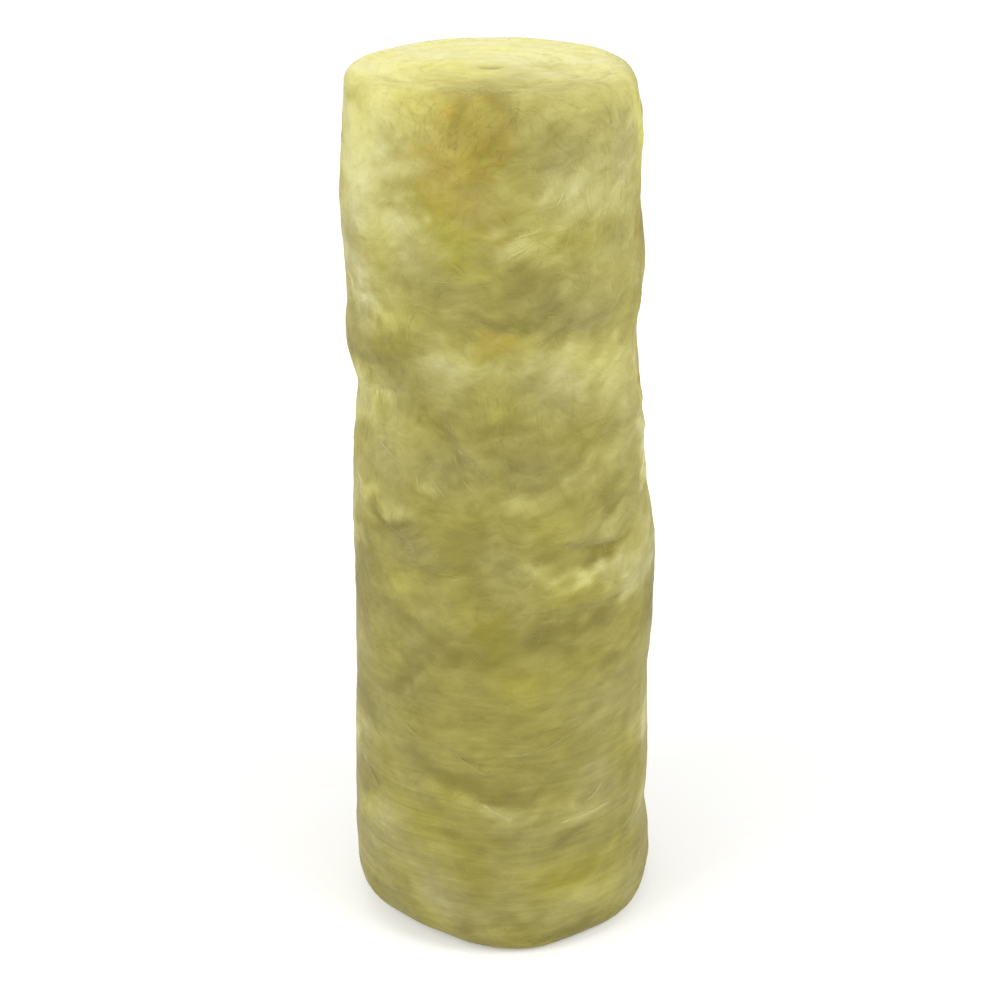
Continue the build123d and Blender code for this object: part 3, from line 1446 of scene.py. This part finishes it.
@dataclass
class WoolRoll:
    """The rolled batt itself, one closed skin wrapped from a grid."""

    form: RollForm
    tints: WoolTints
    finish: WoolFinish
    columns: int = 300
    rows_by_zone: tuple[int, ...] = (44, 12, 186, 8, 50, 3, 14, 3)
    lip_columns: int = 60
    lip_span: float = 18.0
    weld: float = 0.00001
    fill: float = 0.55

    def build(self) -> bpy.types.Object:
        """Makes the piece.

        Returns:
            The dressed roll, which stands for the CAD node.
        """
        rows = sum(self.rows_by_zone)
        bpy.ops.object.select_all(action="DESELECT")
        bpy.ops.mesh.primitive_grid_add(x_subdivisions=self.columns, y_subdivisions=rows, size=1.0)
        piece = bpy.context.object
        piece.name = "wool_roll"
        mesh = piece.data
        theta, run = self.places(mesh, rows)
        points = self.form.surface(theta, run)
        mesh.vertices.foreach_set("co", (points * MM).ravel())
        set_shares(mesh, self.tints.of(theta, run, points))
        bpy.ops.object.mode_set(mode="EDIT")
        bpy.ops.mesh.select_all(action="SELECT")
        bpy.ops.mesh.remove_doubles(threshold=self.weld)
        bpy.ops.mesh.normals_make_consistent(inside=False)
        bpy.ops.object.mode_set(mode="OBJECT")
        bpy.ops.object.shade_smooth()
        mesh.materials.append(self.finish.material())
        settle(piece)
        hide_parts(NODE)
        return piece

    def places(self, mesh: bpy.types.Mesh, rows: int) -> tuple[Array, Array]:
        """Finds where each point of the flat grid goes.

        Args:
            mesh: The grid's mesh.
            rows: How many rows it has.

        Returns:
            Polar angles, and places along the section.
        """
        flat = np.zeros(len(mesh.vertices) * 3)
        mesh.vertices.foreach_get("co", flat)
        flat = flat.reshape(-1, 3)
        column = np.round((flat[:, 0] + 0.5) * self.columns).astype(int) % self.columns
        row = np.round((flat[:, 1] + 0.5) * rows).astype(int) % rows
        run = self.row_runs()[row]
        return self.column_turns()[column] + self.form.tail_theta(self.level(run)), run

    def row_runs(self) -> Array:
        """Gives how far along the section each row lies.

        Returns:
            A place for each row, evenly spread in each zone.
        """
        starts = self.form.zone_starts
        spans = [
            np.linspace(start, end, count, endpoint=False)
            for start, end, count in zip(starts[:-1], starts[1:], self.rows_by_zone)
        ]
        return np.concatenate(spans)

    def column_turns(self) -> Array:
        """Gives each column's angle from the batt's outer end: close together there, even elsewhere.

        Returns:
            Angles in radians, over one full turn.
        """
        half_lip = math.radians(self.lip_span) / 2.0
        near = np.linspace(-half_lip, half_lip, self.lip_columns, endpoint=False)
        far = np.linspace(half_lip, FULL_TURN - half_lip, self.columns - self.lip_columns, endpoint=False)
        return np.concatenate([near, far])

    def level(self, run: Array) -> Array:
        """Gives the height at which the outer end's route is read for a row.

        Args:
            run: How far along the section.

        Returns:
            Heights, which fall back to 0 down the bore.
        """
        starts = self.form.zone_starts
        up = np.clip(run - starts[Zone.SIDE] + self.form.base_rim, 0.0, self.form.height)
        past_top = (run - starts[Zone.TOP_MOUTH]) / (starts[-1] - starts[Zone.TOP_MOUTH])
        return up * (1.0 - np.clip(past_top, 0.0, 1.0))


@dataclass(frozen=True)
class Thread:
    """A bright bundle of fibres on the side, seen as one thread."""

    start_azimuth: float
    start_height: float
    end_azimuth: float
    end_height: float
    sag: float
    spread: float


class Lay(Enum):
    """Where a layer of strands lies."""

    SIDE = "side"
    ENDS = "ends"
    RIMS = "rims"
    OUTER_END = "outer end"


@dataclass(kw_only=True)
class FibreLayer(ABC):
    """A layer of loose strands on the roll: thin closed slivers that follow its surface."""

    name: str
    form: RollForm
    tints: WoolTints
    count: int
    seed: int
    stations: int
    widths: Limits
    lifts: Limits
    tone_shift: float
    tone_spread: float
    loose_share: float = 0.0
    loose_lift: float = 0.0
    least_loose: float = 0.3
    sunk_tips: float = 0.3
    crown: float = 0.3
    mouth_margin: float = 4.0
    turn_step: float = 0.01
    run_step: float = 2.0

    @abstractmethod
    def paths(self, rng: np.random.Generator, share: Array) -> tuple[Array, Array]:
        """Draws the strands' lines.

        Args:
            rng: The layer's random numbers.
            share: How far along a strand each station is.

        Returns:
            Polar angles and places along the section, a row for each strand.
        """

    def build(self, material: bpy.types.Material) -> bpy.types.Object:
        """Makes the piece.

        Args:
            material: The strands' material.

        Returns:
            One mesh with all the layer's strands.
        """
        rng = np.random.default_rng(self.seed)
        share = np.linspace(0.0, 1.0, self.stations)
        theta, run = self.paths(rng, share)
        width = rng.uniform(*self.widths, self.count)
        lift = rng.uniform(*self.lifts, self.count)
        stray = rng.random(self.count) < self.loose_share
        loose = stray * rng.uniform(self.least_loose, 1.0, self.count) * self.loose_lift
        shade = self.tone_shift + self.tone_spread * rng.normal(size=self.count)
        last = self.form.zone_starts[Zone.TOP_MOUTH] - self.mouth_margin
        run = np.clip(run, self.mouth_margin, last)
        wool, outward = self.wool_under(theta, run)
        bow = np.sin(math.pi * share) * (lift[:, None] + self.sunk_tips) - self.sunk_tips
        bow = bow + loose[:, None] * share**2
        points = self.slivers(wool + outward * bow[:, :, None], outward, width)
        mesh = self.mesh_of(points)
        middle = self.stations // 2
        shares = self.tints.of(theta[:, middle], run[:, middle], wool[:, middle])
        shares["tone"] = np.clip(shares["tone"] + shade, 0.0, 1.0)
        set_shares(mesh, {name: np.repeat(values, points.shape[1]) for name, values in shares.items()})
        mesh.materials.append(material)
        piece = bpy.data.objects.new(self.name, mesh)
        bpy.context.scene.collection.objects.link(piece)
        settle(piece)
        return piece

    def wool_under(self, theta: Array, run: Array) -> tuple[Array, Array]:
        """Finds the wool under the strands.

        Args:
            theta: Polar angles, a row for each strand.
            run: Places along the section, a row for each strand.

        Returns:
            Points on the wool and the ways out of it, a row for each strand.
        """
        turns, runs = theta.ravel(), run.ravel()
        wool = self.form.surface(turns, runs)
        aside = self.form.surface(turns + self.turn_step, runs) - wool
        beyond = np.clip(runs + self.run_step, None, self.form.zone_starts[Zone.TOP_MOUTH])
        onward = self.form.surface(turns, beyond) - wool
        outward = unit(np.cross(aside, onward))
        return wool.reshape(*theta.shape, 3), outward.reshape(*theta.shape, 3)

    def slivers(self, path: Array, outward: Array, width: Array) -> Array:
        """Gives the points of three sided slivers along paths, pointed at both ends.

        Args:
            path: The strands' lines, a row of points for each.
            outward: The ways out of the wool there.
            width: Each strand's width.

        Returns:
            A row of points for each strand: a tip, rings of three and a tip.
        """
        across = unit(np.cross(outward, np.gradient(path, axis=1)))
        half = width[:, None, None] / 2.0
        middle, sideways, upward = path[:, 1:-1], across[:, 1:-1], outward[:, 1:-1]
        left = middle + sideways * half
        right = middle - sideways * half
        crown = middle + upward * half * self.crown
        rings = np.stack([right, left, crown], axis=2).reshape(self.count, -1, 3)
        points = np.concatenate([path[:, :1], rings, path[:, -1:]], axis=1)
        points[:, :, 2] = np.clip(points[:, :, 2], 0.0, None)
        return points

    def mesh_of(self, points: Array) -> bpy.types.Mesh:
        """Makes the slivers' mesh.

        Args:
            points: A row of points for each strand, in millimetres.

        Returns:
            The mesh, with flat faces.
        """
        per_strand = points.shape[1]
        first_points = np.arange(self.count) * per_strand
        faces = (self.sliver_faces() + first_points[:, None, None]).reshape(-1, 3)
        mesh = bpy.data.meshes.new(self.name)
        mesh.vertices.add(self.count * per_strand)
        mesh.vertices.foreach_set("co", (points * MM).ravel())
        mesh.loops.add(faces.size)
        mesh.loops.foreach_set("vertex_index", faces.ravel())
        mesh.polygons.add(len(faces))
        mesh.polygons.foreach_set("loop_start", np.arange(0, faces.size, 3))
        mesh.update(calc_edges=True)
        mesh.validate()
        mesh.shade_flat()
        return mesh

    def sliver_faces(self) -> Array:
        """Gives one sliver's triangles.

        Returns:
            Triangles in rows, by point: a tip, rings of three and a tip.
        """
        rings = self.stations - 2
        last = 1 + rings * 3
        faces = []
        for side in range(3):
            after = (side + 1) % 3
            faces.append((0, 1 + after, 1 + side))
            faces.append((last, last - 3 + side, last - 3 + after))
            for ring in range(rings - 1):
                low, high = 1 + ring * 3, 4 + ring * 3
                faces.append((low + side, low + after, high + side))
                faces.append((low + after, high + after, high + side))
        return np.array(faces)


@dataclass(kw_only=True)
class StrandLayer(FibreLayer):
    """Strands scattered over one area, which lean from the hoop and curl."""

    lay: Lay
    lengths: Limits
    lean_spread: float
    curl: float = 0.9
    wave: float = 0.35
    # Where each area starts and ends
    side_edges: tuple[Edge, Edge] = ((Zone.BASE_RIM, 20.0), (Zone.TOP_END, -6.0))
    low_rim_edges: tuple[Edge, Edge] = ((Zone.BASE_RIM, 14.0), (Zone.SIDE, 20.0))
    high_rim_edges: tuple[Edge, Edge] = ((Zone.TOP_RIM, -26.0), (Zone.TOP_END, 12.0))
    outer_end_edges: tuple[Edge, Edge] = ((Zone.SIDE, 6.0), (Zone.TOP_RIM, -6.0))
    low_rim_share: float = 0.5
    base_end_share: float = 0.4
    innermost: float = 0.03
    behind_outer_end: float = -3.0
    about_outer_end: float = 4.0
    # How the strands drift from the hoop together, most on the upper part
    drift_scale: float = 0.8
    drift_low: float = 0.18
    drift_gain: float = 0.45
    drift_from: float = 300.0
    drift_over: float = 700.0
    # About how far in the rims' lands start, and the least radius that strands bend round
    base_inset: float = 20.0
    top_inset: float = 8.0
    least_radius: float = 30.0

    def paths(self, rng: np.random.Generator, share: Array) -> tuple[Array, Array]:
        """Draws the strands' lines.

        Args:
            rng: The layer's random numbers.
            share: How far along a strand each station is.

        Returns:
            Polar angles and places along the section, a row for each strand.
        """
        theta, run, lean = self.roots(rng)
        length = rng.uniform(*self.lengths, self.count)
        curl = rng.normal(0.0, self.curl, self.count)[:, None]
        wave = rng.normal(0.0, self.wave, self.count)[:, None]
        phase = rng.uniform(0.0, FULL_TURN, self.count)[:, None]
        heading = lean[:, None] + curl * (share - 0.5) + wave * np.sin(FULL_TURN * share + phase)
        step = (length / (self.stations - 1))[:, None]
        along = np.cumsum(np.cos(heading) * step, axis=1)
        rise = np.cumsum(np.sin(heading) * step, axis=1)
        along -= along[:, -1:] / 2.0
        rise -= rise[:, -1:] / 2.0
        return theta[:, None] + along / self.radius_at(run)[:, None], run[:, None] + rise

    def roots(self, rng: np.random.Generator) -> tuple[Array, Array, Array]:
        """Scatters the strands.

        Args:
            rng: The layer's random numbers.

        Returns:
            Each strand's polar angle, place along the section and lean from the hoop.
        """
        theta = rng.uniform(-math.pi, math.pi, self.count)
        if self.lay is Lay.SIDE:
            run = self.between(rng, self.side_edges)
        elif self.lay is Lay.RIMS:
            low = self.between(rng, self.low_rim_edges)
            high = self.between(rng, self.high_rim_edges)
            run = np.where(rng.random(self.count) < self.low_rim_share, low, high)
        elif self.lay is Lay.OUTER_END:
            run = self.between(rng, self.outer_end_edges)
            off = rng.normal(self.behind_outer_end, self.about_outer_end, self.count)
            theta = self.form.tail_theta(self.form.height_past_rims(run)) + off / self.form.middle_radius
        else:
            starts = self.form.zone_starts
            outward = np.sqrt(rng.uniform(self.innermost, 1.0, self.count))
            low = outward * starts[Zone.BASE_RIM]
            high = starts[Zone.TOP_MOUTH] - outward * (starts[Zone.TOP_MOUTH] - starts[Zone.TOP_END])
            run = np.where(rng.random(self.count) < self.base_end_share, low, high)
        points = self.form.surface(theta, run)
        drift = self.form.noises["broad"].at(points * self.drift_scale)
        upper = smooth_step((points[:, 2] - self.drift_from) / self.drift_over)
        astray = rng.normal(0.0, math.radians(self.lean_spread), self.count)
        return theta, run, drift * (self.drift_low + self.drift_gain * upper) + astray

    def between(self, rng: np.random.Generator, edges: tuple[Edge, Edge]) -> Array:
        """Scatters places along the section.

        Args:
            rng: The layer's random numbers.
            edges: Where the area starts and ends.

        Returns:
            A place for each strand.
        """
        low, high = (self.form.zone_starts[zone] + past for zone, past in edges)
        return rng.uniform(low, high, self.count)

    def radius_at(self, run: Array) -> Array:
        """Gives about how far from the axis a place along the section is.

        Args:
            run: Places along the section.

        Returns:
            Radii.
        """
        outer = self.form.middle_radius
        inner = self.form.bore_radius + self.form.mouth_radius
        radii = np.array([inner, outer - self.base_inset, outer, outer, outer - self.top_inset, inner])
        places = self.form.zone_starts[: len(radii)]
        return np.maximum(np.interp(run, places, radii), self.least_radius)


@dataclass(kw_only=True)
class ThreadLayer(FibreLayer):
    """The bright threads on the front, each a bundle of strands along its line."""

    threads: tuple[Thread, ...] = (
        Thread(-57.0, 747.0, -35.0, 725.0, 2.0, 1.0),
        Thread(-47.0, 580.0, -5.0, 600.0, 4.0, 1.6),
        Thread(-65.0, 306.0, -52.0, 281.0, 3.0, 1.2),
        Thread(-25.0, 327.0, -5.0, 300.0, 1.0, 1.6),
        Thread(-3.0, 335.0, 40.0, 374.0, 5.0, 2.2),
        Thread(19.0, 223.0, 47.0, 224.0, 3.0, 2.5),
        Thread(18.0, 962.0, 24.0, 958.0, 0.0, 0.8),
        Thread(40.0, 332.0, 45.0, 334.0, 0.0, 0.8),
        Thread(-12.0, 260.0, 4.0, 236.0, 0.0, 3.0),
        Thread(-32.0, 721.0, -30.0, 692.0, 0.0, 1.2),
        Thread(-26.0, 722.0, -20.0, 697.0, -2.0, 1.2),
        Thread(-24.0, 1001.0, -16.0, 1007.0, 0.0, 1.0),
        Thread(4.0, 1044.0, 14.0, 1060.0, 0.0, 4.0),
        Thread(-16.0, 1034.0, -9.0, 1017.0, 0.0, 2.0),
        Thread(7.0, 1071.0, 19.0, 1078.0, 0.0, 3.0),
        Thread(-14.0, 735.0, -7.0, 714.0, 0.0, 1.0),
        Thread(22.0, 1102.0, 25.0, 1119.0, 0.0, 2.0),
        Thread(-63.0, 234.0, -52.0, 203.0, 0.0, 3.0),
        Thread(31.0, 240.0, 42.0, 258.0, 0.0, 3.0),
        Thread(-45.0, 338.0, -31.0, 312.0, 3.0, 2.5),
    )
    least_part: float = 0.5
    scatter: float = 0.5

    def paths(self, rng: np.random.Generator, share: Array) -> tuple[Array, Array]:
        """Draws the strands along the threads, each over a part of its thread.

        Args:
            rng: The layer's random numbers.
            share: How far along a strand each station is.

        Returns:
            Polar angles and places along the section, a row for each strand.
        """
        one_each = (self.count, 1)
        chosen = rng.integers(0, len(self.threads), self.count)
        table = np.array([astuple(thread) for thread in self.threads])
        columns = [column[:, None] for column in table[chosen].T]
        start_azimuth, start_height, end_azimuth, end_height, sag, spread = columns
        part = rng.uniform(self.least_part, 1.0, one_each)
        along = rng.uniform(0.0, 1.0, one_each) * (1.0 - part) + part * share
        off = rng.normal(0.0, self.scatter, one_each) * spread
        cross = rng.normal(0.0, self.scatter, one_each) * spread * (share - 0.5)
        height = start_height + (end_height - start_height) * along - 4.0 * sag * along * (1.0 - along)
        azimuth = start_azimuth + (end_azimuth - start_azimuth) * along
        height = height + off + cross
        azimuth = azimuth + np.degrees((off - cross) / self.form.middle_radius)
        return theta_of(azimuth), self.form.run_at_height(height)


@dataclass(frozen=True)
class Lamp:
    """A soft square lamp: where it hangs, what it faces, its power in watts and its side."""

    name: str
    place: Triple
    target: Triple
    power: float
    side: float = 1.8

    def build(self) -> None:
        """Hangs the lamp and turns it to its target."""
        lamp = bpy.data.lights.new(self.name, "AREA")
        lamp.size = self.side
        lamp.energy = self.power
        holder = bpy.data.objects.new(self.name, lamp)
        bpy.context.scene.collection.objects.link(holder)
        holder.location = self.place
        way = Vector(self.target) - Vector(self.place)
        holder.rotation_euler = way.to_track_quat("-Z", "Y").to_euler()


@dataclass
class Studio:
    """The pale floor, the soft lamps, the plain surroundings and the camera."""

    floor_size: float = 40.0
    floor_colour: Colour = (0.86, 0.86, 0.85)
    near_glow: float = 0.33
    far_glow: float = 0.66
    near_reach: float = 0.45
    far_reach: float = 2.2
    ambient: float = 0.50
    lamps: tuple[Lamp, ...] = (
        Lamp("left", (-2.3, -1.5, 2.5), (0.0, 0.0, 0.7), 40.0),
        Lamp("right", (2.3, -1.5, 2.5), (0.0, 0.0, 0.7), 40.0),
        Lamp("overhead", (-0.2, 0.1, 3.1), (0.0, 0.0, 1.0), 16.0),
    )
    camera_place: Triple = (0.002, -2.8671, 1.8619)
    camera_pitch: float = 23.74
    camera_roll: float = -1.015
    lens: float = 82.2
    sensor: float = 36.0

    def build(self) -> None:
        """Sets the whole studio up."""
        self.add_floor()
        self.add_surroundings()
        for lamp in self.lamps:
            lamp.build()
        self.add_camera()

    def add_floor(self) -> None:
        """Adds a floor that shows white to the camera and keeps the roll's shadow."""
        bpy.ops.object.select_all(action="DESELECT")
        bpy.ops.mesh.primitive_plane_add(size=self.floor_size)
        floor = bpy.context.object
        floor.name = "studio_floor"
        made = bpy.data.materials.new("studio_white")
        made.use_nodes = True
        nodes = NodeTree(made.node_tree)
        made.node_tree.nodes.clear()
        matte = nodes.add("ShaderNodeBsdfDiffuse")
        matte.inputs["Color"].default_value = (*self.floor_colour, 1.0)
        glow = nodes.add("ShaderNodeEmission")
        away = nodes.add("ShaderNodeVectorMath", operation="LENGTH")
        nodes.join(nodes.add("ShaderNodeTexCoord").outputs["Object"], away.inputs[0])
        level = nodes.add("ShaderNodeMapRange", interpolation_type="SMOOTHSTEP")
        nodes.join(away.outputs["Value"], level.inputs["Value"])
        for name, value in (
            ("From Min", self.near_reach),
            ("From Max", self.far_reach),
            ("To Min", self.near_glow),
            ("To Max", self.far_glow),
        ):
            level.inputs[name].default_value = value
        strength = nodes.math("MULTIPLY", self.seen(nodes), level.outputs["Result"])
        nodes.join(strength, glow.inputs["Strength"])
        both = nodes.add("ShaderNodeAddShader")
        nodes.join(matte.outputs["BSDF"], both.inputs[0])
        nodes.join(glow.outputs["Emission"], both.inputs[1])
        nodes.join(both.outputs["Shader"], nodes.add("ShaderNodeOutputMaterial").inputs["Surface"])
        floor.data.materials.append(made)

    def seen(self, nodes: NodeTree) -> Socket:
        """Tells rays that show what is behind the roll from those that light it.

        Args:
            nodes: The material's or world's nodes.

        Returns:
            A socket with 1 for those that show it and 0 for the others.
        """
        path = nodes.add("ShaderNodeLightPath")
        rays = path.outputs
        mirrored = nodes.math("MAXIMUM", rays["Is Glossy Ray"], rays["Is Transmission Ray"])
        return nodes.math("MAXIMUM", rays["Is Camera Ray"], mirrored)

    def add_surroundings(self) -> None:
        """Makes the world white to look at and a soft even light on the roll."""
        world = bpy.data.worlds.new("studio_world")
        world.use_nodes = True
        nodes = NodeTree(world.node_tree)
        light = world.node_tree.nodes["Background"]
        light.inputs["Color"].default_value = (1.0, 1.0, 1.0, 1.0)
        shown = nodes.math("MULTIPLY", self.seen(nodes), 1.0 - self.ambient)
        nodes.join(nodes.math("ADD", shown, self.ambient), light.inputs["Strength"])
        bpy.context.scene.world = world

    def add_camera(self) -> None:
        """Adds the camera where the photograph was taken from."""
        camera = bpy.data.cameras.new("camera")
        camera.lens = self.lens
        camera.sensor_width = self.sensor
        holder = bpy.data.objects.new("camera", camera)
        bpy.context.scene.collection.objects.link(holder)
        tilt = Euler((math.radians(90.0 - self.camera_pitch), 0.0, 0.0)).to_matrix().to_4x4()
        roll = Matrix.Rotation(math.radians(self.camera_roll), 4, "Z")
        holder.matrix_world = Matrix.Translation(self.camera_place) @ tilt @ roll
        bpy.context.scene.camera = holder
        bpy.context.scene.view_settings.view_transform = "Standard"


def strand_layers(form: RollForm, tints: WoolTints) -> list[FibreLayer]:
    """Lists the loose strands.

    Args:
        form: The roll's form.
        tints: The wool's tints.

    Returns:
        The layers, in the order they are built in.
    """
    roll = {"form": form, "tints": tints}
    hoop = StrandLayer(
        **roll, name="hoop_strands", lay=Lay.SIDE, count=5200, seed=101, stations=8,
        lengths=(40.0, 130.0), widths=(0.25, 0.5), lifts=(0.0, 0.2), lean_spread=14.0,
        tone_shift=0.03, tone_spread=0.05,
    )
    brushed = StrandLayer(
        **roll, name="brushed_wisps", lay=Lay.SIDE, count=10500, seed=102, stations=5,
        lengths=(12.0, 44.0), widths=(0.25, 0.5), lifts=(0.0, 0.3), lean_spread=34.0,
        tone_shift=0.04, tone_spread=0.06,
    )
    ends = StrandLayer(
        **roll, name="end_strands", lay=Lay.ENDS, count=3600, seed=103, stations=6,
        lengths=(14.0, 44.0), widths=(0.25, 0.5), lifts=(0.0, 0.2), lean_spread=40.0,
        tone_shift=0.0, tone_spread=0.02,
    )
    rims = StrandLayer(
        **roll, name="rim_fuzz", lay=Lay.RIMS, count=2600, seed=104, stations=5,
        lengths=(10.0, 30.0), widths=(0.25, 0.45), lifts=(0.0, 0.4), lean_spread=55.0,
        tone_shift=0.05, tone_spread=0.07,
        loose_share=0.3, loose_lift=2.5,
    )
    outer_end = StrandLayer(
        **roll, name="outer_end_fuzz", lay=Lay.OUTER_END, count=1500, seed=106, stations=5,
        lengths=(9.0, 30.0), widths=(0.25, 0.45), lifts=(0.0, 0.5), lean_spread=50.0,
        tone_shift=0.05, tone_spread=0.06,
        loose_share=0.4, loose_lift=2.0,
    )
    bright = ThreadLayer(
        **roll, name="bright_threads", count=420, seed=105, stations=8,
        widths=(0.4, 0.8), lifts=(0.2, 0.6), tone_shift=0.12, tone_spread=0.05,
    )
    return [hoop, brushed, ends, rims, outer_end, bright]


def main() -> None:
    """Builds the roll, its strands and the studio, in that order."""
    logging.basicConfig(level=logging.INFO, format="%(message)s")
    form = RollForm()
    tints = WoolTints(form)
    WoolRoll(form, tints, WoolFinish("rolled_wool")).build()
    strands = WoolFinish("loose_strands", fine_share=0.05, bump=0.05, roughness=0.6, gloss=0.3).material()
    for layer in strand_layers(form, tints):
        layer.build(strands)
    Studio().build()


if __name__ == "__main__":
    main()
